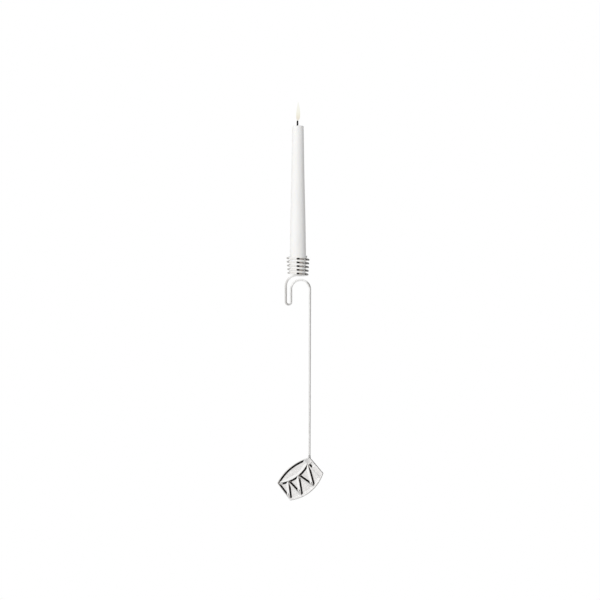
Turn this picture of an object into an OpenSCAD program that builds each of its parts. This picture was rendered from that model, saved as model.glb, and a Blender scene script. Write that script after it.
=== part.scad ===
// Counterweighted candle holder for a tree branch, in millimetres.
// One silvered wire is wound into a socket for a slim candle, bent into a hook and run down to a weight.
// The branch lies under the crown of the hook's arch, which is the origin. +Z is up and the front faces -Y.

/* [Wire] */
// Diameter of the wire that the whole holder is bent from
wire_d = 1.8; // [1.4:0.1:2.2]

/* [Candle socket] */
// Turns of wire round the candle
coil_turns = 5; // [3:1:7]
// Rise of the coil in one turn, wire centre to wire centre
coil_pitch = 2.95; // [2.7:0.05:4]
// Gap between the candle's foot and the lowest turn that steadies it
socket_gap = 0.25; // [0.2:0.05:0.6]
// How much further from the axis the top turn runs than the lowest one
socket_flare = 1; // [0:0.1:1.5]
// Direction in which the wire's cut end lies, from the right, towards the back
coil_end_angle = 38; // [10:1:60]
// Distance from the middle of the arch to the coil's axis, towards the legs
coil_offset = 2.1; // [1.5:0.1:3.5]
// Height of the wire that crosses under the candle over the top of the arch, centre to centre
seat_rise = 3.8; // [3.2:0.1:8]
// Radius of the half turn that brings the wire in under the candle
seat_loop_r = 2.95; // [2.4:0.05:3.3]
// Radius of the bend back that lines the wire up with the hook
seat_bend_r = 2.2; // [1.8:0.05:2.8]
// Straight stretch of wire between the bends under the candle and the bend down to the leg
seat_run = 0.3; // [0.2:0.1:2]

/* [Hook] */
// Radius of the arch that hangs over the branch, to the wire's centre
arch_r = 7.55; // [6.5:0.05:10]
// Radius of the narrow bend that joins the two legs, to the wire's centre
legs_r = 2.1; // [1.6:0.05:3]
// Straight length of the leg between the arch and the narrow bend
leg_l = 10; // [8:0.05:14]

/* [Pendulum] */
// Length of the rod from the arch to the corner of the weight
rod_l = 134.7; // [90:0.1:180]
// Lean of the rod towards the legs, in degrees
rod_lean = 0.2; // [0:0.1:1]
// Depth of the seat drilled in the weight for the rod's end
rod_seat = 1.4; // [1:0.1:1.6]
// Metal of the weight's corner round the rod's end
pad_wall = 0.4; // [0.3:0.1:0.7]
// Height of the solder that runs up the rod from the weight
solder_h = 0.9; // [0.5:0.1:1.5]
// Width of the solder round the rod
solder_w = 0.35; // [0.2:0.05:0.5]

/* [Drum weight] */
// Turn of the drum from upright, in degrees
drum_tilt = 38.7; // [30:0.1:50]
// Width of the drum's head between its corners
head_w = 32.3; // [26:0.1:36]
// Rise of the head's far edge over its corners, to the middle of its rim
head_h = 3.4; // [2.5:0.1:5]
// Drop of the head's near edge below its corners, over the drum's wall
head_front_h = 5.2; // [4:0.1:6.5]
// Reach of the solid corner along the head
corner_l = 5; // [3:0.1:7]
// Height of the drum's side next to the rod
near_side_h = 16.2; // [13:0.1:18]
// Height of the drum's other side
far_side_h = 16.7; // [12:0.1:18]
// Outward lean of the side next to the rod, in degrees
near_side_lean = 2.1; // [0:0.1:5]
// Outward lean of the other side, in degrees
far_side_lean = 1.7; // [0:0.1:5]
// Drop of the drum's curved foot below its lower corners
foot_drop = 4.8; // [4:0.1:6.5]
// Width of the rims round the head and the foot
rim_w = 1.4; // [1.2:0.1:1.8]
// Width of the rims down the sides
side_w = 1; // [0.7:0.1:1.4]
// Width of the cords that zigzag over the drum's wall
cord_w = 1.2; // [0.9:0.1:1.3]
// Places of the upper cord ends, as shares of the head's half width
cord_tops = [-0.54, 0.02, 0.75]; // [-0.8:0.001:0.8]
// Places of the lower cord ends, as shares of the foot's half width
cord_feet = [-0.457, 0.268, 0.79]; // [-0.8:0.001:0.8]
// Height of the lower cord ends over the middle of the foot's rim
cord_lift = 1.1; // [0.5:0.1:1.1]
// Full thickness of the weight
weight_t = 3.4; // [3:0.1:5]
// Depth of the sunk panels, from each face
panel_depth = 1.1; // [0.6:0.1:1.2]

/* [Candle] */
// Diameter of the candle's foot in the socket
candle_d = 12.9; // [12:0.1:13.1]
// Diameter of the candle's top
candle_top_d = 9.1; // [7:0.1:11]
// Length of the candle without its wick
candle_l = 118; // [60:1:160]
// Rounding of the candle's top edge
candle_edge = 0.6; // [0.3:0.1:1.2]
// Gap between the candle's foot and the wire under it
seat_gap = 0.2; // [0.1:0.05:0.4]
// Diameter of the wick
wick_d = 1.2; // [0.8:0.1:1.6]
// Length of wick over the candle
wick_h = 4.4; // [3:0.1:8]

/* [Hidden] */
$fn = 64;

wire_r = wire_d / 2;
coil_foot_r = candle_d / 2 + socket_gap + wire_r;
coil_x = -coil_offset;
arch_z = wire_r - arch_r;
legs_z = arch_z - leg_l;
leg_x = -arch_r - 2 * legs_r;
seat_z = wire_r + seat_rise;

// The seat is the wire under the candle: a straight run back as long as the last bend's radius, a half
// turn in, and a quarter turn that points the wire at the leg. It leaves the coil at the coil's own slope
// and ends level.
seat_l = seat_bend_r + PI * seat_loop_r + PI * seat_bend_r / 2;
coil_slope = coil_pitch / (2 * PI * coil_foot_r);
coil_foot_z = seat_z + coil_slope * seat_l / 2;
seat_start_x = coil_x + coil_foot_r;
seat_end_x = seat_start_x - 2 * seat_loop_r - seat_bend_r;
lead_r = seat_end_x - seat_run - leg_x;
candle_z = coil_foot_z + wire_r + seat_gap;
coil_top = coil_turns - coil_end_angle / 360;

// The coil runs down to the left from its cut end, and draws in towards its foot. Turns count from there.
function coil_r(turn) = coil_foot_r + socket_flare * turn / coil_turns;
function coil_point(turn) = [
    coil_x + coil_r(turn) * cos(360 * turn),
    -coil_r(turn) * sin(360 * turn),
    coil_foot_z + coil_pitch * turn
];
function seat_height(run) = coil_foot_z - coil_slope * run * (1 - run / seat_l / 2);
function loop_point(a) = [
    seat_start_x - seat_loop_r * (1 - cos(a)),
    seat_bend_r + seat_loop_r * sin(a),
    seat_height(seat_bend_r + seat_loop_r * a * PI / 180)
];
function bend_point(a) = [
    seat_end_x + seat_bend_r * sin(a),
    seat_bend_r * (1 - cos(a)),
    seat_height(seat_l - seat_bend_r * a * PI / 180)
];
COIL_RINGS = 24;
LOOP_STEP = 15;
WIRE_SIDES = 12;
ring_count = round(coil_top * COIL_RINGS);
wire_path = [
    for (i = [ring_count : -1 : 0]) coil_point(coil_top * i / ring_count),
    for (a = [0 : LOOP_STEP : 180]) loop_point(a),
    for (a = [90 - LOOP_STEP : -LOOP_STEP : 0]) bend_point(a)
];

function unit(v) = v / norm(v);
// The wire ends square to the hook, so its last direction is exact.
function direction(path, i) =
    i == 0 ? unit(path[1] - path[0])
    : i == len(path) - 1 ? [-1, 0, 0]
    : unit(path[i + 1] - path[i - 1]);
function ring(at, along) =
    let (side = unit(cross(along, [0, 0, 1])), up = cross(side, along), step = 360 / WIRE_SIDES)
        [for (k = [0 : WIRE_SIDES - 1]) at + wire_r * (side * cos(step * k) + up * sin(step * k))];

// One unbroken tube along a path that never runs upright
module tube(path) {
    last = len(path) - 1;
    points = [for (i = [0 : last]) each ring(path[i], direction(path, i))];
    walls = [
        for (i = [0 : last - 1], k = [0 : WIRE_SIDES - 1])
            let (a = i * WIRE_SIDES + k, b = i * WIRE_SIDES + (k + 1) % WIRE_SIDES)
                each [[a, b, b + WIRE_SIDES], [a, b + WIRE_SIDES, a + WIRE_SIDES]]
    ];
    caps = [
        [for (k = [WIRE_SIDES - 1 : -1 : 0]) k],
        [for (k = [0 : WIRE_SIDES - 1]) last * WIRE_SIDES + k]
    ];
    polyhedron(points, concat(walls, caps));
}

// The coil, from its cut end at the top right down to the wire that crosses under the candle
module socket_coil() {
    color("silver") tube(wire_path);
}

module bend(r, sweep) {
    rotate_extrude(angle = sweep) translate([r, 0]) circle(r = wire_r);
}

// A bend in the hook's own plane, from an angle over the right side
module hook_bend(x, z, r, from, sweep) {
    translate([x, 0, z]) rotate([90, 0, 0]) rotate(from) bend(r, sweep);
}

// Runs from the leg over the branch to the rod, a little past a half turn.
module arch() {
    translate([0, 0, arch_z])
        rotate([90, 0, 0])
            rotate(180)
                mirror([0, 1, 0])
                    bend(arch_r, 180 + rod_lean);
}

module leg(x, from, to) {
    translate([x, 0, from]) cylinder(r = wire_r, h = to - from);
}

module hanger_hook() {
    color("silver") {
        translate([seat_end_x - seat_run, 0, seat_z])
            rotate([0, 90, 0])
                cylinder(r = wire_r, h = seat_run);
        hook_bend(leg_x + lead_r, seat_z - lead_r, lead_r, 90, 90);
        leg(leg_x, legs_z, seat_z - lead_r);
        hook_bend(leg_x + legs_r, legs_z, legs_r, 180, 180);
        leg(-arch_r, legs_z, arch_z);
        arch();
    }
}

// Stands upright on the rod's own line, with its origin at the weight's corner.
module at_corner() {
    translate([0, 0, arch_z])
        rotate([0, rod_lean, 0])
            translate([arch_r, 0, -rod_l])
                children();
}

module pendulum_rod() {
    color("silver")
        at_corner()
            translate([0, 0, -rod_seat])
                cylinder(r = wire_r, h = rod_l + rod_seat);
}

pad_r = wire_r + pad_wall;

// The weight is drawn flat, as seen from the front: its head lies level, and its near upper corner is at 0.
half_w = head_w / 2;
head_mid = [-half_w, 0];
far_corner = [-head_w, 0];
near_foot = near_side_h * [sin(near_side_lean), -cos(near_side_lean)];
far_foot = far_corner + far_side_h * [-sin(far_side_lean), -cos(far_side_lean)];
foot_mid = (near_foot + far_foot) / 2;
foot_half_w = norm(near_foot - far_foot) / 2;
foot_slope = atan2(near_foot.y - far_foot.y, near_foot.x - far_foot.x);

// A round arc that rises over the middle of a level chord of a half width
ARC_STEPS = 16;
function arc_r(half, rise) = (half * half + rise * rise) / (2 * rise);
function bow(x, half, rise) =
    let (r = arc_r(half, rise))
        sqrt(r * r - x * x) - r + rise;
// Its points from the right to the left, all moved outwards
function arc_line(half, rise, out) =
    let (r = arc_r(half, rise), reach = asin(half / r))
        [for (i = [0 : ARC_STEPS])
            let (a = 90 + reach * (2 * i / ARC_STEPS - 1))
                [(r + out) * cos(a), (r + out) * sin(a) - r + rise]
        ];
function turned(p, a) = [p.x * cos(a) - p.y * sin(a), p.x * sin(a) + p.y * cos(a)];
function head_edge(x) = head_mid + [x, bow(x, half_w, head_h)];
function head_front(x) = head_mid - [-x, bow(x, half_w, head_front_h)];
function cord_foot(x) = foot_mid + turned([x, cord_lift - bow(x, foot_half_w, foot_drop)], foot_slope);

// The cord starts at the far side's foot, and runs up and down over the drum's wall.
cord_path = [
    far_foot,
    for (i = [0 : len(cord_tops) - 1])
        each [head_front(cord_tops[i] * half_w), cord_foot(cord_feet[i] * foot_half_w)]
];

// A straight line of a width with round ends. Ends that lie on one point share their corners.
CAP_STEP = 18;
function cap(at, r, from) = [for (a = [from : CAP_STEP : from + 180]) at + r * [cos(a), sin(a)]];
module stroke(a, b, w) {
    turn = round(atan2(b.y - a.y, b.x - a.x) / CAP_STEP) * CAP_STEP;
    polygon(concat(cap(a, w / 2, turn + 90), cap(b, w / 2, turn - 90)));
}

// A curved rim on a chord, turned so that it bulges away from the drum
module arc_rim(half, rise, mid, turn) {
    outer = arc_line(half, rise, rim_w / 2);
    inner = arc_line(half, rise, -rim_w / 2);
    translate(mid)
        rotate(turn)
            polygon(concat(outer, [for (i = [ARC_STEPS : -1 : 0]) inner[i]]));
}

// Rims meet under a small knob, a little wider than they are.
KNOB_OVER = 0.15;
module rims() {
    arc_rim(half_w, head_h, head_mid, 0);
    arc_rim(half_w, head_front_h, head_mid, 180);
    arc_rim(foot_half_w, foot_drop, foot_mid, foot_slope + 180);
    stroke(far_corner, far_foot, side_w);
    stroke([0, 0], near_foot, side_w);
    for (at = [far_corner, far_foot, near_foot]) {
        translate(at) circle(r = rim_w / 2 + KNOB_OVER);
    }
}

module cords() {
    for (i = [0 : len(cord_path) - 2]) {
        stroke(cord_path[i], cord_path[i + 1], cord_w);
    }
}

// Solid corner that takes the rod's end and fills the head's narrow end
module rod_pad() {
    along_rod = [-sin(drum_tilt), -cos(drum_tilt)];
    stroke([0, 0], (rod_seat - wire_r) * along_rod, 2 * pad_r);
    polygon([[0, 0], head_edge(half_w - corner_l), head_front(half_w - corner_l)]);
}

// The sheet inside the rims, drawn to their middles
module web() {
    foot_line = [for (p = arc_line(foot_half_w, foot_drop, 0)) foot_mid + turned(p, foot_slope + 180)];
    polygon(concat([for (p = arc_line(half_w, head_h, 0)) head_mid + p], foot_line));
}

module outline() {
    web();
    rims();
    rod_pad();
}

module drum_block() {
    rotate([0, -drum_tilt, 0]) rotate([90, 0, 0]) {
        linear_extrude(weight_t - 2 * panel_depth, center = true) outline();
        linear_extrude(weight_t, center = true) {
            rims();
            cords();
            rod_pad();
        }
    }
}

module drum_weight() {
    color("gainsboro")
        at_corner()
            difference() {
                drum_block();
                translate([0, 0, -rod_seat]) cylinder(r = wire_r, h = rod_seat + pad_r + rim_w);
            }
}

// Thickness of the solder's upper edge, and where it starts as a share of the corner's radius
SOLDER_EDGE = 0.1;
SOLDER_START = 0.6;
// Solder drawn up round the rod where it enters the weight
module solder_fillet() {
    foot = SOLDER_START * pad_r;
    top = pad_r + solder_h;
    wide = wire_r + SOLDER_EDGE;
    color("lightgray")
        at_corner()
            difference() {
                translate([0, 0, foot])
                    cylinder(r1 = wide + solder_w, r2 = wide, h = top - foot);
                drum_block();
                cylinder(r = wire_r, h = top + 1);
            }
}

module candle() {
    foot_r = candle_d / 2;
    top_r = candle_top_d / 2;
    socket_h = coil_foot_z + coil_top * coil_pitch - candle_z;
    color("white")
        translate([coil_x, 0, candle_z])
            difference() {
                rotate_extrude()
                    polygon([
                        [0, 0],
                        [foot_r, 0],
                        [foot_r, socket_h],
                        [top_r, candle_l - candle_edge],
                        [top_r - candle_edge, candle_l],
                        [0, candle_l]
                    ]);
                translate([0, 0, -1]) cylinder(d = wick_d, h = candle_l + 2);
            }
}

module wick() {
    color("dimgray")
        translate([coil_x, 0, candle_z])
            cylinder(d = wick_d, h = candle_l + wick_h);
}

// Least gap between the wire and itself, measured between points that lie a few wire widths apart along it
POINTS_APART = 8;
least_gap = min([
    for (i = [0 : len(wire_path) - POINTS_APART - 1], j = [i + POINTS_APART : len(wire_path) - 1])
        norm(wire_path[i] - wire_path[j])
]) - wire_d;
echo(least_gap = least_gap);

socket_coil();
hanger_hook();
pendulum_rod();
solder_fillet();
drum_weight();
candle();
wick();
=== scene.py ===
"""Looks of the counterweighted candle holder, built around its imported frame."""
import math

import bpy
import numpy as np
from mathutils import Matrix, Vector, noise


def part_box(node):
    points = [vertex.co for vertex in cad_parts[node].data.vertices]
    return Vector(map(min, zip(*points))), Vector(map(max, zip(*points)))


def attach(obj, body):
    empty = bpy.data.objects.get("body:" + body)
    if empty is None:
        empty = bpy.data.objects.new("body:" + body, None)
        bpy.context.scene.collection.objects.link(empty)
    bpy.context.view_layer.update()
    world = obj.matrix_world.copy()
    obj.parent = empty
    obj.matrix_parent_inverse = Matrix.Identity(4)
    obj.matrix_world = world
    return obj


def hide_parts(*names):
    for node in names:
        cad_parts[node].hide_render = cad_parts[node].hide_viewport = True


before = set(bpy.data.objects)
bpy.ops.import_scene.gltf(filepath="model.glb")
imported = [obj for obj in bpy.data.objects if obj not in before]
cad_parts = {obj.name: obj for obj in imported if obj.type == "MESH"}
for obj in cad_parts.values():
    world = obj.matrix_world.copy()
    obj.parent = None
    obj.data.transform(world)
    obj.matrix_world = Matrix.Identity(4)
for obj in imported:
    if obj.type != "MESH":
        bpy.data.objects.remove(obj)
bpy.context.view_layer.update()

MM = 0.001
TURN = 2 * math.pi

# Driving sizes of the wire, the same as in the solids, with angles in degrees
WIRE_R = 0.9 * MM
COIL_TURNS = 5
COIL_PITCH = 2.95 * MM
SOCKET_GAP = 0.25 * MM
SOCKET_FLARE = 1 * MM
COIL_END_ANGLE = 38
COIL_OFFSET = 2.1 * MM
SEAT_RISE = 3.8 * MM
SEAT_LOOP_R = 2.95 * MM
SEAT_BEND_R = 2.2 * MM
SEAT_RUN = 0.3 * MM
ARCH_R = 7.55 * MM
LEGS_R = 2.1 * MM
LEG_L = 10 * MM
ROD_L = 134.7 * MM
ROD_LEAN = 0.2
ROD_SEAT = 1.4 * MM
CANDLE_D = 12.9 * MM

# Places that follow from them
COIL_FOOT_R = CANDLE_D / 2 + SOCKET_GAP + WIRE_R
COIL_X = -COIL_OFFSET
ARCH_Z = WIRE_R - ARCH_R
LEGS_Z = ARCH_Z - LEG_L
LEG_X = -ARCH_R - 2 * LEGS_R
SEAT_Z = WIRE_R + SEAT_RISE
SEAT_L = SEAT_BEND_R + math.pi * SEAT_LOOP_R + math.pi * SEAT_BEND_R / 2
COIL_SLOPE = COIL_PITCH / (TURN * COIL_FOOT_R)
COIL_FOOT_Z = SEAT_Z + COIL_SLOPE * SEAT_L / 2
SEAT_START_X = COIL_X + COIL_FOOT_R
SEAT_END_X = SEAT_START_X - 2 * SEAT_LOOP_R - SEAT_BEND_R
LEAD_R = SEAT_END_X - SEAT_RUN - LEG_X
COIL_TOP = COIL_TURNS - COIL_END_ANGLE / 360


# Meshes

def make_object(name, points, faces, smooth=True):
    mesh = bpy.data.meshes.new(name)
    mesh.from_pydata([tuple(p) for p in points], [], faces)
    mesh.validate()
    if smooth:
        mesh.shade_smooth()
    piece = bpy.data.objects.new(name, mesh)
    bpy.context.scene.collection.objects.link(piece)
    return piece


def round_angles(sides):
    return [TURN * k / sides for k in range(sides)]


def tube_faces(rings, sides, start=0):
    """Quads between rings of points that follow each other, and the two ends that close them."""
    faces = []
    for i in range(rings - 1):
        for k in range(sides):
            a = start + i * sides + k
            b = start + i * sides + (k + 1) % sides
            faces.append((a, b, b + sides, a + sides))
    last = start + (rings - 1) * sides
    faces.append(tuple(start + k for k in reversed(range(sides))))
    faces.append(tuple(last + k for k in range(sides)))
    return faces


def sweep(name, route, sides, radius):
    """A round tube along a route. The radius is a function of the length along it."""
    tangents = [
        (route[min(i + 1, len(route) - 1)] - route[max(i - 1, 0)]).normalized()
        for i in range(len(route))
    ]
    side = tangents[0].cross(Vector((0, 0, 1))).normalized()
    points = []
    along = 0
    last = route[0]
    for p, t in zip(route, tangents):
        side = (side - t * side.dot(t)).normalized()
        up = t.cross(side)
        along += (p - last).length
        last = p
        r = radius(along)
        points += [p + r * (side * math.cos(a) + up * math.sin(a)) for a in round_angles(sides)]
    return make_object(name, points, tube_faces(len(route), sides))


def lathe(name, profile, sides, place, shift):
    """A turned form. The profile lists (radius, height) from the foot on, and shift moves each
    of its points a little."""
    points = [
        place + shift(Vector((r * math.cos(a), r * math.sin(a), z)))
        for r, z in profile
        for a in round_angles(sides)
    ]
    return make_object(name, points, tube_faces(len(profile), sides))


# Wire

STEPS_PER_TURN = 72
BEND_STEPS = 24
ROD_STEPS = 60
LEAST_STEP = 0.3 * MM
WIRE_SIDES = 24

# Share of its seat that the rod's end fills
ROD_SEAT_USED = 0.9

# Uneven drawing, as shares of the radius and reaches along the wire, and the rounded cut end
WIRE_WAVES = ((0.006, 7.3 * MM), (0.004, 2.9 * MM))
CUT_ROUND = 0.25 * MM
CUT_RINGS = (1, 0.92, 0.7, 0.35)
CUT_INSET = 0.3


def coil_point(turn):
    """A point on the coil's centre line, counted in turns from its foot."""
    r = COIL_FOOT_R + SOCKET_FLARE * turn / COIL_TURNS
    a = TURN * turn
    return Vector((COIL_X + r * math.cos(a), -r * math.sin(a), COIL_FOOT_Z + COIL_PITCH * turn))


def seat_height(run):
    """Height of the wire that turns in under the candle, which levels out on its way."""
    return COIL_FOOT_Z - COIL_SLOPE * run * (1 - run / SEAT_L / 2)


def loop_point(a):
    """A point on the half loop under the candle, behind the hook's plane."""
    run = SEAT_BEND_R + SEAT_LOOP_R * a
    return Vector((
        SEAT_START_X - SEAT_LOOP_R * (1 - math.cos(a)),
        SEAT_BEND_R + SEAT_LOOP_R * math.sin(a),
        seat_height(run),
    ))


def bend_point(a):
    """A point on the bend that brings the loop's end into the hook's plane."""
    return Vector((
        SEAT_END_X + SEAT_BEND_R * math.sin(a),
        SEAT_BEND_R * (1 - math.cos(a)),
        seat_height(SEAT_L - SEAT_BEND_R * a),
    ))


def arc(x, z, r, start, end, steps):
    """Points of a bend in the hook's plane, with angles in degrees from the right over the top."""
    angles = [math.radians(start + (end - start) * i / steps) for i in range(steps + 1)]
    return [Vector((x + r * math.cos(a), 0, z + r * math.sin(a))) for a in angles]


def rod_point(along):
    """A point on the rod's centre line, measured from the arch towards the weight."""
    turn = Matrix.Rotation(math.radians(ROD_LEAN), 3, "Y")
    return Vector((0, 0, ARCH_Z)) + turn @ Vector((ARCH_R, 0, -along))


def wire_route():
    """Down the coil, in under the candle, down the narrow bend, over the arch and down the rod."""
    coil_steps = round(COIL_TOP * STEPS_PER_TURN)
    quarter_steps = BEND_STEPS // 2
    rod_end = ROD_L + ROD_SEAT * ROD_SEAT_USED
    return [
        *[coil_point(COIL_TOP * (1 - i / coil_steps)) for i in range(coil_steps + 1)],
        *[loop_point(math.pi * i / BEND_STEPS) for i in range(BEND_STEPS + 1)],
        *[bend_point(math.pi / 2 * (1 - i / quarter_steps)) for i in range(1, quarter_steps + 1)],
        *arc(LEG_X + LEAD_R, SEAT_Z - LEAD_R, LEAD_R, 90, 180, BEND_STEPS),
        *arc(LEG_X + LEGS_R, LEGS_Z, LEGS_R, 180, 360, BEND_STEPS),
        *arc(0, ARCH_Z, ARCH_R, 180, -ROD_LEAN, 2 * BEND_STEPS),
        *[rod_point(rod_end * i / ROD_STEPS) for i in range(1, ROD_STEPS + 1)],
    ]


def thin_out(route, least):
    """The route without points that lie closer together than the least distance."""
    kept = [route[0]]
    for p in route[1:]:
        if (p - kept[-1]).length > least:
            kept.append(p)
    return kept


def wire_radius(along):
    """Drawn wire that isn't quite even, with its cut end rounded."""
    wear = sum(share * math.sin(along / reach) for share, reach in WIRE_WAVES)
    inset = max(0, 1 - along / CUT_ROUND)
    return WIRE_R * (1 + wear) * (1 - CUT_INSET * inset ** 2)


def make_wire():
    route = thin_out(wire_route(), LEAST_STEP)
    outward = (route[0] - route[1]).normalized()
    cut = [route[0] + outward * CUT_ROUND * s for s in CUT_RINGS]
    return sweep("holder_wire", cut + route, WIRE_SIDES, wire_radius)


# Candle

CANDLE_LOW, CANDLE_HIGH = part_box("candle")
WICK_LOW, WICK_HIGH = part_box("wick")
CANDLE_L = CANDLE_HIGH.z - CANDLE_LOW.z
CANDLE_FOOT = Vector((COIL_X, 0, CANDLE_LOW.z))
CANDLE_TOP_D = 9.1 * MM
CANDLE_SWELL = 0.16 * MM
CANDLE_SIDES = 96
SOCKET_H = COIL_FOOT_Z + COIL_TOP * COIL_PITCH - CANDLE_LOW.z

# The foot's edge as (inset, height), and the steps of the profile
FOOT_EDGE = ((0.5 * MM, 0), (0.15 * MM, 0.1 * MM))
WALL_STEPS = 90
RIM_STEPS = 6
POOL_STEPS = 12

# The rim, and the melted pool inside it, which is full depth before its middle
RIM_DROP = 0.2 * MM
RIM_ROUND = 0.35 * MM
POOL_DEPTH = 0.9 * MM
POOL_MIDDLE_R = 0.3 * MM
POOL_STEEP = 1.25
POOL_HOLLOW = 1.5

# Waves of the wall and lumps of the melted edge, per metre and as shares of the radius
WAVES_ACROSS = 60
WAVES_ALONG = 25
WAVES_SWELL = 0.012
MELT_ACROSS = 420
MELT_SLICE = 3.1
MELT_SWELL = 0.03
MELT_REACH = 2.2 * MM
MELT_LIFT = 0.28 * MM


def candle_radius(z):
    """Radius at a height over the foot: straight in the coil, then tapered with a slight swell."""
    if z <= SOCKET_H:
        return CANDLE_D / 2
    share = (z - SOCKET_H) / (CANDLE_L - SOCKET_H)
    swell = CANDLE_SWELL * math.sin(TURN * share) * (1 - share)
    return (CANDLE_D + (CANDLE_TOP_D - CANDLE_D) * share) / 2 + swell


def candle_profile():
    """From the foot's soft edge up the wall, over the rim and down into the melted pool."""
    top = CANDLE_L - RIM_DROP
    rim = candle_radius(top)
    profile = [(candle_radius(0) - inset, z) for inset, z in FOOT_EDGE]
    for i in range(1, WALL_STEPS):
        z = top * i / WALL_STEPS
        profile.append((candle_radius(z), z))
    for i in range(RIM_STEPS + 1):
        a = math.pi / 2 * i / RIM_STEPS
        profile.append((rim - RIM_ROUND * (1 - math.cos(a)), top - RIM_ROUND * (1 - math.sin(a))))
    for i in range(1, POOL_STEPS + 1):
        share = i / POOL_STEPS
        r = (rim - RIM_ROUND) * (1 - share) + POOL_MIDDLE_R * share
        dip = POOL_DEPTH * math.sin(math.pi / 2 * min(1, share * POOL_STEEP)) ** POOL_HOLLOW
        profile.append((r, top - dip))
    return profile


def uneven_wax(p):
    """Slow waves down the candle's side, and a lumpy melted edge at its top."""
    away = Vector((p.x, p.y, 0))
    slow = noise.noise(Vector((p.x * WAVES_ACROSS, p.y * WAVES_ACROSS, p.z * WAVES_ALONG)))
    near_top = max(0, 1 - (CANDLE_L - p.z) / MELT_REACH)
    melt = noise.noise(Vector((p.x * MELT_ACROSS, p.y * MELT_ACROSS, MELT_SLICE))) * near_top
    return p + away * (WAVES_SWELL * slow + MELT_SWELL * melt) + Vector((0, 0, MELT_LIFT * melt))


def make_candle():
    return lathe("candle_wax", candle_profile(), CANDLE_SIDES, CANDLE_FOOT, uneven_wax)


# Wick, three strands plaited into one cord

STRANDS = 3
STRAND_R = 0.42 * MM
STRAND_LAY_R = 0.33 * MM
STRAND_SIDES = 10
STRAND_STEPS = 320
PLAIT_L = 3.4 * MM
WICK_TOP_Z = WICK_HIGH.z - 0.25 * MM
WICK_LEAN = 0.28 * MM
WICK_LEAN_FROM = 1.5 * MM
WICK_LEAN_RUN = 2 * MM
WICK_ROUGH = 0.12
ROUGH_PER_M = 2200
ROUGH_APART = 7.3
TIP_SHARE = 0.004
TIP_SHRINK = 0.45


def strand_points(strand):
    """One strand, which leans a little where it stands out of the wax and narrows at its tip."""
    points = []
    for i in range(STRAND_STEPS + 1):
        share = i / STRAND_STEPS
        z = WICK_LOW.z + (WICK_TOP_Z - WICK_LOW.z) * share
        turn = TURN * ((z - WICK_LOW.z) / PLAIT_L + strand / STRANDS)
        bare = max(0, z - CANDLE_HIGH.z + WICK_LEAN_FROM)
        lean = WICK_LEAN * math.sin(math.pi / 2 * min(1, bare / WICK_LEAN_RUN))
        tip = 1 - TIP_SHRINK * max(0, share - (1 - TIP_SHARE)) / TIP_SHARE
        centre = Vector((
            COIL_X + STRAND_LAY_R * tip * math.cos(turn) - lean,
            STRAND_LAY_R * tip * math.sin(turn),
            z,
        ))
        rough = 1 + WICK_ROUGH * noise.noise(Vector((strand * ROUGH_APART, 0, z * ROUGH_PER_M)))
        points += [
            centre + STRAND_R * tip * rough * Vector((math.cos(a), math.sin(a), 0))
            for a in round_angles(STRAND_SIDES)
        ]
    return points


def make_wick():
    points = []
    faces = []
    for strand in range(STRANDS):
        faces += tube_faces(STRAND_STEPS + 1, STRAND_SIDES, len(points))
        points += strand_points(strand)
    return make_object("plaited_wick", points, faces)


# Flame

FLAME_FOOT_Z = WICK_HIGH.z - 0.5 * MM
FLAME_H = 15.5 * MM
FLAME_R = 1.75 * MM
FLAME_LEAST = 0.02
FLAME_STEPS = 40
FLAME_SIDES = 40

# Exponents under 1 that set the belly low and make it full, and the taper over it
BELLY_LOW = 0.68
BELLY_FULL = 0.7
FLAME_TAPER = 0.25

# A lean to the side by a part of a sine, with the angle at the tip in radians
FLAME_SWAY = 0.35 * MM
SWAY_ANGLE = 2.6


def flame_radius(share):
    """Radius at a share of the height: a low belly that runs out into a long tip."""
    belly = math.sin(math.pi * share ** BELLY_LOW) ** BELLY_FULL if 0 < share < 1 else 0
    return FLAME_R * max(FLAME_LEAST, belly * (1 - FLAME_TAPER * share))


def flame_sway(p):
    return p + Vector((FLAME_SWAY * math.sin(p.z / FLAME_H * SWAY_ANGLE), 0, 0))


def make_flame():
    shares = [i / FLAME_STEPS for i in range(FLAME_STEPS + 1)]
    profile = [(flame_radius(share), FLAME_H * share) for share in shares]
    foot = Vector((COIL_X, 0, FLAME_FOOT_Z))
    return lathe("candle_flame", profile, FLAME_SIDES, foot, flame_sway)


# Drum weight, drawn flat in millimetres from its near upper corner, as in the solids

HEAD_W = 32.3
HEAD_H = 3.4
HEAD_FRONT_H = 5.2
NEAR_SIDE_H = 16.2
FAR_SIDE_H = 16.7
NEAR_SIDE_LEAN = -2.1
FAR_SIDE_LEAN = 1.7
FOOT_DROP = 4.8
DRUM_TILT = 38.7
WEIGHT_T = 3.4
PANEL_DEPTH = 1.1
CORNER_L = 5
HALF_W = HEAD_W / 2

# Its raised lines, with their half widths and how far their tops are crowned
RIM_HALF = 0.7
RIM_CROWN = 0.1
SIDE_HALF = 0.5
SIDE_CROWN = 0.08
CORD_HALF = 0.6
CORD_CROWN = 0.1
PAD_HALF = 1.3
PAD_CROWN = 0.15
PAD_END = np.array([-0.32, -0.38])

# Where the cords meet head and foot, as shares of the half width, and what fills their corners
CORD_TOPS = (-0.54, 0.02, 0.75)
CORD_FEET = (-0.457, 0.268, 0.79)
CORD_LIFT = 1.1
CORD_FILL = 2.4
FOOT_FILLS = (4.6, 4.3, 3.3)
FOOT_FILL_HALF = 0.8

# Slope of the relief's walls, and the shallow ends of the strip beside the near side
WALL_W = 1.65
WALL_IN = 0.29
STRIP_TOP = 4.4
STRIP_TOP_FADE = 0.6
STRIP_FROM = 6.3
STRIP_FADE = 1.2
STRIP_FILL = 0.75

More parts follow.
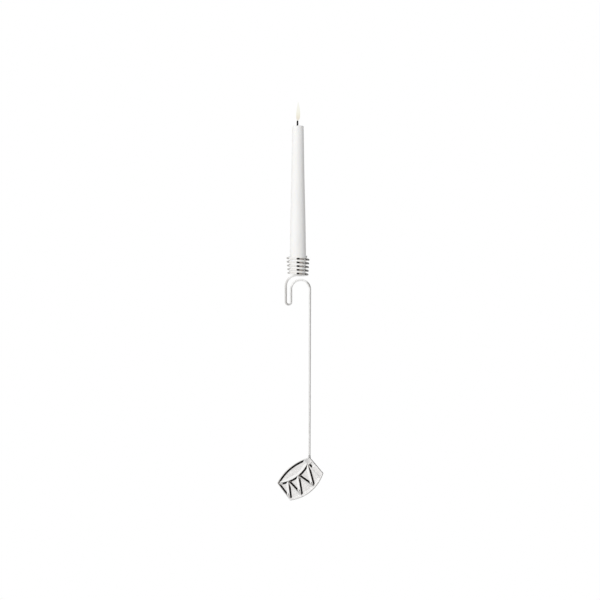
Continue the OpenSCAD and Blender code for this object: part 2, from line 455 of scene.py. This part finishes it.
# The casting's mesh, its round edge and the frosted band along the foot
DRUM_CENTRE = np.array([-15.4, -8.6])
ARC_STEPS = 48
EDGE_STEPS = 600
FACE_RINGS = 96
HUB_SHARE = 0.012
RIM_SHARE = 0.995
EDGE_ROUND = 0.62
EDGE_ROWS = 8
EDGE_FULLNESS = 0.8
SEARCH_REACH = (5.0, 25.0)
SEARCH_HALVINGS = 24
FROST_REACH = 1.7
FROST_FADE = 0.4


def turned(length, lean):
    """A side of the drum that hangs from its corner and leans by some degrees."""
    a = math.radians(lean)
    return np.array([-length * math.sin(a), -length * math.cos(a)])


NEAR_TOP = np.zeros(2)
NEAR_FOOT = turned(NEAR_SIDE_H, NEAR_SIDE_LEAN)
FAR_TOP = np.array([-HEAD_W, 0.0])
FAR_FOOT = FAR_TOP + turned(FAR_SIDE_H, FAR_SIDE_LEAN)
FOOT_MID = (NEAR_FOOT + FAR_FOOT) / 2
FOOT_HALF_W = float(np.linalg.norm(NEAR_FOOT - FAR_FOOT)) / 2
FOOT_SLOPE = math.atan2(NEAR_FOOT[1] - FAR_FOOT[1], NEAR_FOOT[0] - FAR_FOOT[0])
HEAD_MID = np.array([-HALF_W, 0.0])


def bow(x, half, rise):
    """Height of a round arc over its chord, at a distance from the chord's middle."""
    r = (half ** 2 + rise ** 2) / (2 * rise)
    return math.sqrt(r ** 2 - x ** 2) - (r - rise)


def head_point(x, side):
    """A point on the head's far edge, where side is 1, or on its near one, where it is -1."""
    rise = HEAD_H if side > 0 else HEAD_FRONT_H
    return HEAD_MID + np.array([x, side * bow(x, HALF_W, rise)])


def foot_point(x, lift=0):
    """A point on the foot's arc, at a distance from the middle of its chord."""
    y = lift - bow(x, FOOT_HALF_W, FOOT_DROP)
    c, s = math.cos(FOOT_SLOPE), math.sin(FOOT_SLOPE)
    return FOOT_MID + np.array([x * c - y * s, x * s + y * c])


def head_arc(side):
    """One edge of the head, from the rod's corner to the other one."""
    return [head_point(x, side) for x in np.linspace(HALF_W, -HALF_W, ARC_STEPS + 1)]


def foot_arc():
    return [foot_point(x) for x in np.linspace(-FOOT_HALF_W, FOOT_HALF_W, ARC_STEPS + 1)]


def cord_points():
    """The zigzag from the far side's foot up to the head and down again, three times."""
    points = [FAR_FOOT]
    for top, foot in zip(CORD_TOPS, CORD_FEET):
        points += [head_point(top * HALF_W, -1), foot_point(foot * FOOT_HALF_W, CORD_LIFT)]
    return points


def cord_fills():
    """Short ridges that fill the narrow corners where lines meet, in turn at foot and head."""
    line = [FAR_TOP] + cord_points()
    fills = []
    for i in range(1, len(line) - 1):
        away = [(p - line[i]) / np.linalg.norm(p - line[i]) for p in (line[i - 1], line[i + 1])]
        middle = away[0] + away[1]
        at_head = i % 2 == 0
        length = CORD_FILL if at_head else FOOT_FILLS[i // 2]
        half = CORD_HALF if at_head else FOOT_FILL_HALF
        end = line[i] + length * middle / np.linalg.norm(middle)
        fills.append(([line[i], end], half, CORD_CROWN))
    return fills


def relief_lines():
    """Each raised line as its points, its half width and how far its top is crowned."""
    return [
        (head_arc(1), RIM_HALF, RIM_CROWN),
        (head_arc(-1), RIM_HALF, RIM_CROWN),
        (foot_arc(), RIM_HALF, RIM_CROWN),
        ([FAR_TOP, FAR_FOOT], SIDE_HALF, SIDE_CROWN),
        ([NEAR_TOP, NEAR_FOOT], SIDE_HALF, SIDE_CROWN),
        (cord_points(), CORD_HALF, CORD_CROWN),
        *cord_fills(),
        ([NEAR_TOP, PAD_END], PAD_HALF, PAD_CROWN),
    ]


def line_distance(points, line):
    """Distance of each point to a line of straight stretches."""
    best = np.full(len(points), np.inf)
    for a, b in zip(line[:-1], line[1:]):
        ab = b - a
        t = np.clip(((points - a) @ ab) / (ab @ ab), 0, 1)
        best = np.minimum(best, np.linalg.norm(points - a - t[:, None] * ab, axis=1))
    return best


def inside(points, polygon):
    """Whether each point lies inside a closed outline."""
    found = np.zeros(len(points), bool)
    for (x0, y0), (x1, y1) in zip(polygon, np.roll(polygon, -1, axis=0)):
        crosses = (y0 > points[:, 1]) != (y1 > points[:, 1])
        if y0 != y1:
            found ^= crosses & (points[:, 0] < (x1 - x0) * (points[:, 1] - y0) / (y1 - y0) + x0)
    return found


def corner_distance(points):
    """Distance to the solid corner that takes the rod, nothing inside it."""
    x = HALF_W - (CORNER_L - RIM_HALF)
    corner = [NEAR_TOP, head_point(x, 1), head_point(x, -1)]
    away = line_distance(points, corner + corner[:1])
    return np.where(inside(points, np.array(corner)), 0, away)


RELIEF = relief_lines()
CORE = np.array(head_arc(1) + foot_arc())


def outline_reach():
    """How far the outline, less its rounding, lies from the drum's centre in each direction."""
    angles = TURN * np.arange(EDGE_STEPS) / EDGE_STEPS
    rays = np.stack([np.cos(angles), np.sin(angles)], 1)
    low, high = (np.full(EDGE_STEPS, reach) for reach in SEARCH_REACH)
    for _ in range(SEARCH_HALVINGS):
        mid = (low + high) / 2
        points = DRUM_CENTRE + rays * mid[:, None]
        within = inside(points, CORE)
        for line, half, _crown in RELIEF:
            within |= line_distance(points, line) < half - EDGE_ROUND
        low, high = np.where(within, mid, low), np.where(within, high, mid)
    return rays, low


def ridge(d, half, crown):
    """Height of a raised line at a distance from its middle, under the highest metal."""
    flat = half - WALL_IN * WALL_W
    top = -crown * (np.minimum(d, flat) / flat) ** 2
    return top + (crown - PANEL_DEPTH) * np.clip((d - flat) / WALL_W, 0, 1)


def strip_share(points):
    """1 in the shallow ends of the strip between the last cord and the near side, 0 elsewhere."""
    *_, last_top, last_foot = cord_points()
    strip = np.array([last_top, NEAR_TOP, NEAR_FOOT, last_foot])
    upper = np.clip((STRIP_TOP + points[:, 1]) / STRIP_TOP_FADE, 0, 1)
    lower = np.clip((-points[:, 1] - STRIP_FROM) / STRIP_FADE, 0, 1)
    return np.where(inside(points, strip), np.maximum(upper, lower), 0)


def relief_height(points):
    """Height of the face over the mid-plane."""
    height = ridge(corner_distance(points), RIM_HALF, RIM_CROWN)
    height = np.maximum(height, -PANEL_DEPTH + STRIP_FILL * strip_share(points))
    for line, half, crown in RELIEF:
        height = np.maximum(height, ridge(line_distance(points, line), half, crown))
    return WEIGHT_T / 2 + height


def frost_share(points, heights):
    """How frosted the metal is, from 0 on the polished lines to 1 in the panels and at the foot."""
    sunk = np.clip((WEIGHT_T / 2 - heights) / PANEL_DEPTH, 0, 1)
    along_foot = np.clip((FROST_REACH - line_distance(points, foot_arc())) / FROST_FADE, 0, 1)
    return np.maximum.reduce([sunk, along_foot, strip_share(points)])


def drum_place(u, v, w):
    """From the flat drawing, in millimetres, to its place on the rod, in metres."""
    turn = Matrix.Rotation(math.radians(ROD_LEAN - DRUM_TILT), 3, "Y")
    return rod_point(ROD_L) + turn @ Vector((u * MM, -w * MM, v * MM))


def make_weight():
    """The front face ring by ring from its centre outwards, the round edge, and the back."""
    rays, reach = outline_reach()
    between = [i / (FACE_RINGS - 2) for i in range(1, FACE_RINGS - 2)]
    shares = [HUB_SHARE, *between, RIM_SHARE, 1]
    flat = np.concatenate([DRUM_CENTRE + rays * (reach * s)[:, None] for s in shares])
    heights = relief_height(flat)
    points = [drum_place(u, v, h) for (u, v), h in zip(flat, heights)]
    for i in range(1, EDGE_ROWS):
        a = math.pi * i / EDGE_ROWS
        out = EDGE_ROUND * math.sin(a) ** EDGE_FULLNESS
        for (u, v), (nu, nv), h in zip(flat[-EDGE_STEPS:], rays, heights[-EDGE_STEPS:]):
            points.append(drum_place(u + nu * out, v + nv * out, h * math.cos(a)))
    inwards = [
        ring * EDGE_STEPS + k for ring in reversed(range(len(shares))) for k in range(EDGE_STEPS)
    ]
    points += [drum_place(*flat[i], -heights[i]) for i in inwards]
    piece = make_object("drum_casting", points, tube_faces(len(points) // EDGE_STEPS, EDGE_STEPS))

    frost = frost_share(flat, heights)
    polished = np.zeros((EDGE_ROWS - 1) * EDGE_STEPS)
    values = np.concatenate([frost, polished, frost[inwards]]).astype(np.float32)
    piece.data.attributes.new("frost", "FLOAT", "POINT").data.foreach_set("value", values)
    return piece


# Solder

SOLDER_LOW = -0.9 * MM
SOLDER_H = 3 * MM
SOLDER_SKIN = 0.03 * MM
SOLDER_SPREAD = 0.42 * MM
SOLDER_HOLLOW = 2.4
SOLDER_LUMPS = 0.05
LUMPS_ACROSS = 900
LUMPS_ALONG = 700
SOLDER_STEPS = 14
SOLDER_SIDES = 40


def lumpy_solder(p):
    wobble = noise.noise(Vector((p.x * LUMPS_ACROSS, p.y * LUMPS_ACROSS, p.z * LUMPS_ALONG)))
    return p + Vector((p.x, p.y, 0)) * SOLDER_LUMPS * wobble


def make_solder():
    """A hollow-sided fillet that the solder draws up round the rod."""
    profile = []
    for i in range(SOLDER_STEPS + 1):
        share = i / SOLDER_STEPS
        r = WIRE_R + SOLDER_SKIN + SOLDER_SPREAD * (1 - share) ** SOLDER_HOLLOW
        profile.append((r, SOLDER_LOW + SOLDER_H * share))
    return lathe("solder_joint", profile, SOLDER_SIDES, rod_point(ROD_L), lumpy_solder)


# Materials

def grey(value):
    return (value, value, value)


class Look:
    """The nodes of a material or of the world, with a short way to add each kind in use."""

    def __init__(self, owner):
        owner.use_nodes = True
        self.owner = owner
        self.nodes = owner.node_tree.nodes
        self.shader = self.nodes.get("Principled BSDF")

    def feed(self, socket, value):
        """Give a socket another node's output or a plain value."""
        if isinstance(value, bpy.types.NodeSocket):
            self.owner.node_tree.links.new(value, socket)
        else:
            socket.default_value = (*value, 1) if socket.type == "RGBA" else value

    def put(self, name, value):
        self.feed(self.shader.inputs[name], value)

    def add(self, kind, inputs=None, **settings):
        """A new node with its settings, and its inputs fed by name or by number."""
        node = self.nodes.new(kind)
        for name, setting in settings.items():
            setattr(node, name, setting)
        for name, value in (inputs or {}).items():
            self.feed(node.inputs[name], value)
        return node

    def place(self):
        """The object's own coordinates, in metres."""
        return self.add("ShaderNodeTexCoord").outputs["Object"]

    def axes(self):
        return self.add("ShaderNodeSeparateXYZ", {"Vector": self.place()}).outputs

    def distance(self, point):
        """Distance in metres to a fixed point."""
        inputs = {0: self.place(), 1: point}
        return self.add("ShaderNodeVectorMath", inputs, operation="DISTANCE").outputs["Value"]

    def math(self, operation, *values):
        node = self.add("ShaderNodeMath", dict(enumerate(values)), operation=operation)
        return node.outputs["Value"]

    def share(self, value, start, end):
        """0 to 1 as the value runs from start to end."""
        inputs = {"Value": value, "From Min": start, "From Max": end}
        return self.add("ShaderNodeMapRange", inputs).outputs["Result"]

    def ramp(self, value, *stops):
        node = self.add("ShaderNodeValToRGB", {"Fac": value})
        elements = node.color_ramp.elements
        while len(elements) < len(stops):
            elements.new(0.5)
        for element, (position, colour) in zip(elements, stops):
            element.position = position
            element.color = (*colour, 1)
        return node.outputs["Color"]

    def noise(self, scale, detail=4, roughness=0.5, stretch=None):
        """Noise over the object's own coordinates. The scale counts in features per metre."""
        place = self.place()
        if stretch:
            mapping = self.add("ShaderNodeMapping", {"Vector": place, "Scale": stretch})
            place = mapping.outputs["Vector"]
        inputs = {"Vector": place, "Scale": scale, "Detail": detail, "Roughness": roughness}
        return self.add("ShaderNodeTexNoise", inputs).outputs["Fac"]

    def mix(self, factor, first, second, blend="MIX"):
        inputs = {"Factor": factor, "A": first, "B": second}
        node = self.add("ShaderNodeMix", inputs, data_type="RGBA", blend_type=blend)
        return node.outputs["Result"]

    def mix_shaders(self, factor, first, second):
        inputs = {0: factor, 1: first, 2: second}
        return self.add("ShaderNodeMixShader", inputs).outputs["Shader"]

    def glow(self, colour):
        return self.add("ShaderNodeEmission", {"Color": colour}).outputs["Emission"]

    def bump(self, height, strength, depth):
        inputs = {"Height": height, "Strength": strength, "Distance": depth}
        self.put("Normal", self.add("ShaderNodeBump", inputs).outputs["Normal"])


def new_look(name):
    return Look(bpy.data.materials.new(name))


# Bands of tone on the wire, by its height less a slant from front to back
LEVEL_REACH = 10 * MM
LEVEL_SLANT = 0.2
LEVELS = (0.2, 0.38, 0.75, 0.8)
SHOULDER = Vector((6.7 * MM, 0, ARCH_Z + 3.6 * MM))
SHOULDER_REACH = 4 * MM


def silver_wire():
    """Bright coil, and a hook and rod that handling and air have made satin."""
    look = new_look("silvered_wire")
    axes = look.axes()
    slanted = look.math("MULTIPLY_ADD", axes["Y"], -LEVEL_SLANT, axes["Z"])
    level = look.share(slanted, -LEVEL_REACH, LEVEL_REACH)

    def by_height(leg, crown, coil):
        """Values for the legs and rod, for the worn crown up to the candle, and for the coil."""
        return look.ramp(level, *zip(LEVELS, map(grey, (leg, crown, crown, coil))))

    blotches = look.noise(350, 3)
    satin = look.ramp(blotches, (0.3, (0.91, 0.905, 0.89)), (0.6, (0.96, 0.955, 0.945)))
    bright = look.ramp(blotches, (0.3, (0.86, 0.85, 0.83)), (0.6, (0.91, 0.90, 0.88)))
    tone = look.mix(by_height(0, 0, 1), satin, bright)
    # The base colour is made darker left of the U's middle: over its left leg, the wire that bends
    # down into it and the coil's leftmost side
    between_legs = look.share(axes["X"], LEG_X, LEG_X + 2 * LEGS_R)
    darker_to_the_left = look.ramp(between_legs, (0.4, (0.78, 0.77, 0.76)), (0.6, grey(1)))
    look.put("Base Color", look.mix(1, tone, darker_to_the_left, "MULTIPLY"))

    smudge_inputs = {"Value": look.noise(900, 5), "To Min": -0.03, "To Max": 0.05}
    smudges = look.add("ShaderNodeMapRange", smudge_inputs).outputs["Result"]
    look.put("Roughness", look.math("ADD", by_height(0.3, 0.45, 0.05), smudges))

    away = look.share(look.distance(SHOULDER), 0, SHOULDER_REACH)
    at_shoulder = look.ramp(away, (0.5, grey(0.9)), (1.0, grey(0)))
    look.put("Metallic", look.math("MAXIMUM", by_height(0.6, 0.15, 1), at_shoulder))
    look.bump(look.noise(1600, 3), 0.1, 0.01 * MM)
    return look.owner


FROSTED_FROM = 0.85


def cast_silver():
    """Polished raised lines and frosted, finely grained panels."""
    look = new_look("cast_silver")
    frost = look.add("ShaderNodeAttribute", attribute_name="frost").outputs["Fac"]

    def by_frost(polished, frosted, *first):
        return look.ramp(frost, *first, (FROSTED_FROM, grey(polished)), (1.0, grey(frosted)))

    grain = look.noise(1100, 3, 0.6)
    grained = look.ramp(grain, (0.36, (0.85, 0.83, 0.815)), (0.6, (1.0, 0.99, 0.98)))
    look.put("Base Color", look.mix(by_frost(0, 1), (0.92, 0.915, 0.905), grained))
    look.put("Metallic", by_frost(1, 0.2))
    look.put("Roughness", by_frost(0.08, 0.6, (0.0, grey(0.24)), (0.12, grey(0.08))))
    look.bump(grain, by_frost(0.02, 0.25), 0.05 * MM)
    return look.owner


def dull_solder():
    look = new_look("tin_solder")
    blotches = look.noise(1500, 4)
    look.put("Metallic", 1)
    look.put("Base Color", look.ramp(blotches, (0.3, grey(0.62)), (0.7, grey(0.84))))
    look.put("Roughness", look.ramp(blotches, (0.3, grey(0.5)), (0.7, grey(0.3))))
    look.bump(blotches, 0.3, 0.05 * MM)
    return look.owner


def candle_wax():
    look = new_look("candle_wax")
    clouds = look.noise(120, 4, 0.55, (1, 1, 0.35))
    tone = look.ramp(clouds, (0.35, (0.905, 0.9, 0.885)), (0.65, (0.93, 0.925, 0.915)))
    look.put("Base Color", tone)
    look.put("Roughness", look.ramp(clouds, (0.3, grey(0.5)), (0.7, grey(0.38))))
    look.put("Subsurface Weight", 0.12)
    look.put("Subsurface Radius", (1, 0.9, 0.75))
    look.put("Subsurface Scale", 1.5 * MM)
    look.bump(look.noise(420, 5), 0.12, 0.1 * MM)
    return look.owner


def charred_cotton():
    """Pale cotton in the wax, black char over it, and a little ash at the tip."""
    look = new_look("charred_cotton")
    share = look.share(look.axes()["Z"], CANDLE_HIGH.z - 1 * MM, WICK_HIGH.z)
    char = grey(0.003)
    look.put("Base Color", look.ramp(
        share,
        (0.0, (0.75, 0.72, 0.66)),
        (0.1, (0.02, 0.018, 0.016)),
        (0.3, char),
        (0.94, char),
        (1.0, grey(0.05)),
    ))
    look.put("Roughness", 0.95)
    look.put("Specular IOR Level", 0.1)
    look.bump(look.noise(5000, 4), 0.6, 0.05 * MM)
    return look.owner


def pale_flame():
    """Thin light that lets most of what is behind it through, fullest over the wick's tip."""
    look = new_look("pale_flame")
    look.nodes.remove(look.shader)
    share = look.share(look.axes()["Z"], FLAME_FOOT_Z, FLAME_FOOT_Z + FLAME_H)
    glow = look.glow(look.ramp(
        share,
        (0.0, (0.72, 0.66, 0.55)),
        (0.2, (0.80, 0.74, 0.58)),
        (0.4, (0.86, 0.84, 0.68)),
        (1.0, (0.88, 0.87, 0.78)),
    ))
    clear = look.add("ShaderNodeBsdfTransparent").outputs["BSDF"]
    fullness = look.ramp(share, (0.0, grey(0.25)), (0.1, grey(0.5)), (1.0, grey(0.25)))
    surface = look.nodes["Material Output"].inputs["Surface"]
    look.feed(surface, look.mix_shaders(fullness, clear, glow))
    return look.owner


# The dressed pieces

def dress(piece, material, body, slot, *nodes):
    piece.data.materials.append(material)
    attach(piece, body)
    if nodes:
        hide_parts(*nodes)
    return piece


wire = make_wire()
# In the photo's soft light the thin wire leaves no shade on the candle and the drum
wire.visible_diffuse = False
wire.visible_shadow = False
dress(wire, silver_wire(), "holder", "wire", "socket_coil", "hanger_hook", "pendulum_rod")
dress(make_weight(), cast_silver(), "holder", "cast_metal", "drum_weight")
dress(make_solder(), dull_solder(), "holder", "solder", "solder_fillet")
dress(make_candle(), candle_wax(), "candle_body", "wax", "candle")
dress(make_wick(), charred_cotton(), "candle_body", "wick", "wick")
flame = dress(make_flame(), pale_flame(), "candle_body", None)
flame.visible_shadow = False


# Stage

# A pixel's width at the object, and where the photo shows the frame's origin
PIXEL = 0.8 * MM
IMAGE_W = 600
ZERO_X_PX = 300.5
ZERO_Y_PX = 281.07
CAMERA_FAR = 1.6
SENSOR_W = 36
CAMERA_PLACE = Vector((
    (IMAGE_W / 2 - ZERO_X_PX) * PIXEL,
    -CAMERA_FAR,
    (ZERO_Y_PX - IMAGE_W / 2) * PIXEL,
))

FLOOR_Z = -0.45
FLOOR_REACH = 0.85
FLOOR_SIDES = 64
FLOOR_FADE_FROM = 0.25
FLOOR_FADE_TO = 0.97 * FLOOR_REACH
ROOM_LIGHT = 0.47

# The cards' usual distance, and how low they reach, each distance to a level of its own
CARD_FAR = 1.5
CARD_STEPS = 12
CARD_LOW = FLOOR_Z + 0.01
CARD_STEP = 0.08
CARD_CENTRE = Vector((COIL_X, 0, 0))
COIL_MIDDLE = Vector((COIL_X, 0, COIL_FOOT_Z + COIL_PITCH * COIL_TURNS / 2))
DRUM_MIDDLE = drum_place(*DRUM_CENTRE, 0)
DRUM_VIEW = (DRUM_MIDDLE - CAMERA_PLACE).normalized()
BLACK = grey(0.004)
LENS_GAP_ACROSS = (-6.2, 8.5)
LENS_GAPS = {"lens_gap_top": (-3, 60), "lens_gap_middle": (-35, -8), "lens_gap_foot": (-60, -42)}


def make_camera():
    data = bpy.data.cameras.new("camera")
    data.sensor_width = SENSOR_W
    data.lens = data.sensor_width * CAMERA_FAR / (IMAGE_W * PIXEL)
    camera = bpy.data.objects.new("camera", data)
    camera.location = CAMERA_PLACE
    camera.rotation_euler = (math.pi / 2, 0, 0)
    bpy.context.scene.collection.objects.link(camera)
    bpy.context.scene.camera = camera


def make_floor():
    """A pale disc under the hanging holder that fades out into the white around it."""
    points = [(0, 0, FLOOR_Z)]
    points += [
        (FLOOR_REACH * math.cos(a), FLOOR_REACH * math.sin(a), FLOOR_Z)
        for a in round_angles(FLOOR_SIDES)
    ]
    faces = [(0, 1 + k, 1 + (k + 1) % FLOOR_SIDES) for k in range(FLOOR_SIDES)]
    floor = make_object("floor", points, faces, smooth=False)
    look = new_look("pale_floor")
    look.put("Base Color", grey(0.9))
    look.put("Roughness", 0.9)
    mapping = look.add("ShaderNodeMapping", {"Vector": look.place(), "Scale": (1, 1, 0)})
    flat = {0: mapping.outputs["Vector"]}
    away = look.add("ShaderNodeVectorMath", flat, operation="LENGTH").outputs["Value"]
    fade = look.share(away, FLOOR_FADE_FROM, FLOOR_FADE_TO)
    surface = look.nodes["Material Output"].inputs["Surface"]
    look.feed(surface, look.mix_shaders(fade, look.shader.outputs["BSDF"], look.glow(grey(1))))
    floor.data.materials.append(look.owner)


def make_world():
    """A white room where the camera, metal and glass see it, and a softer one that lights."""
    world = bpy.data.worlds.new("white_room")
    bpy.context.scene.world = world
    look = Look(world)
    white = look.nodes["Background"]
    look.feed(white.inputs["Color"], grey(1))
    look.feed(white.inputs["Strength"], 1)
    soft = look.add("ShaderNodeBackground", {"Color": grey(1), "Strength": ROOM_LIGHT})
    ray = look.add("ShaderNodeLightPath").outputs
    seen = look.math("MAXIMUM", ray["Is Camera Ray"], ray["Is Glossy Ray"])
    seen = look.math("MAXIMUM", seen, ray["Is Transmission Ray"])
    room = look.mix_shaders(seen, soft.outputs["Background"], white.outputs["Background"])
    look.feed(look.nodes["World Output"].inputs["Surface"], room)


def toward(turn, rise):
    """Direction that lies some degrees to the right of the camera and over the horizon."""
    a, e = math.radians(turn), math.radians(rise)
    return Vector((math.sin(a) * math.cos(e), -math.cos(a) * math.cos(e), math.sin(e)))


def mirrored(turn, rise):
    """Direction that the camera sees in a wire of the coil's slope, at a spot of it that faces
    some degrees to the camera's right and up."""
    lean = math.degrees(COIL_SLOPE) * math.tan(math.radians(rise))
    return Vector((0, 1, 0)).reflect(toward(turn + lean, rise))


def mirrored_in_wall(slope, way):
    """Direction that the camera sees in a wall of the drum's relief, which slopes by some degrees
    and faces some degrees over the right."""
    s, a = math.radians(slope), math.radians(way)
    face = Vector((math.sin(s) * math.cos(a), -math.cos(s), math.sin(s) * math.sin(a)))
    return DRUM_VIEW.reflect(face)


def make_card(name, across, up, colour, far=CARD_FAR, aim=toward, centre=CARD_CENTRE):
    """A studio card, bent like a piece of a dome, that the metal mirrors and the camera doesn't
    see. What would reach under its lowest level is drawn in to it."""
    low = CARD_LOW + CARD_STEP * (CARD_FAR - far)
    points = []
    for i in range(CARD_STEPS + 1):
        for k in range(CARD_STEPS + 1):
            share = Vector((k, i)) / CARD_STEPS
            turn = across[0] + (across[1] - across[0]) * share.x
            away = far * aim(turn, up[0] + (up[1] - up[0]) * share.y)
            if centre.z + away.z < low:
                away *= (low - centre.z) / away.z
            points.append(centre + away)
    row = CARD_STEPS + 1
    corners = [i * row + k for i in range(CARD_STEPS) for k in range(CARD_STEPS)]
    panes = [(i, i + 1, i + row + 1, i + row) for i in corners]
    card = make_object(name, points, panes, smooth=False)
    look = new_look(name)
    look.nodes.remove(look.shader)
    look.feed(look.nodes["Material Output"].inputs["Surface"], look.glow(colour))
    card.data.materials.append(look.owner)
    card.visible_camera = False
    card.visible_diffuse = False
    card.visible_shadow = False


def make_lamp(name, place, size, power):
    data = bpy.data.lights.new(name, "AREA")
    data.size = size
    data.energy = power
    lamp = bpy.data.objects.new(name, data)
    lamp.location = place
    lamp.rotation_euler = (-Vector(place)).to_track_quat("-Z", "Y").to_euler()
    lamp.visible_glossy = False
    bpy.context.scene.collection.objects.link(lamp)


make_camera()
make_floor()
make_world()

# Darker sides of the studio, which shade the flanks of the wire
make_card("front_right_card", across=(16, 60), up=(-60, 60), colour=(0.36, 0.32, 0.295))
make_card("side_card", across=(60, 84), up=(-60, 60), colour=grey(0.62))
make_card("right_flag", across=(84, 106), up=(-70, 70), colour=grey(0.03))
make_card("right_room", across=(106, 172), up=(-75, 75), colour=grey(0.2))
make_card("left_card", across=(-140, -100), up=(-30, 30), colour=grey(0.5), far=1.2)

# Black round the camera, mirrored as small spots in the coil. The gaps between these cards keep
# the drum's flats light, and the last one, close to the coil, fills a gap for the coil alone.
for name, up in LENS_GAPS.items():
    make_card(name, LENS_GAP_ACROSS, up, BLACK, far=1.3, aim=mirrored)
make_card(
    "lens_gap_waist", LENS_GAP_ACROSS, (-8.8, -2.2), BLACK,
    far=0.3, aim=mirrored, centre=COIL_MIDDLE,
)

# Black that the walls of the drum's relief mirror as its dark lines
make_card(
    "relief_flag", (28.5, 34), (-84, 66), BLACK,
    far=1.35, aim=mirrored_in_wall, centre=DRUM_MIDDLE,
)

make_lamp("key", place=(-0.9, -1.4, 0.75), size=1.2, power=19.5)
make_lamp("back", place=(-0.35, 1.55, 0.5), size=1, power=9)

scene = bpy.context.scene
scene.view_settings.view_transform = "Standard"
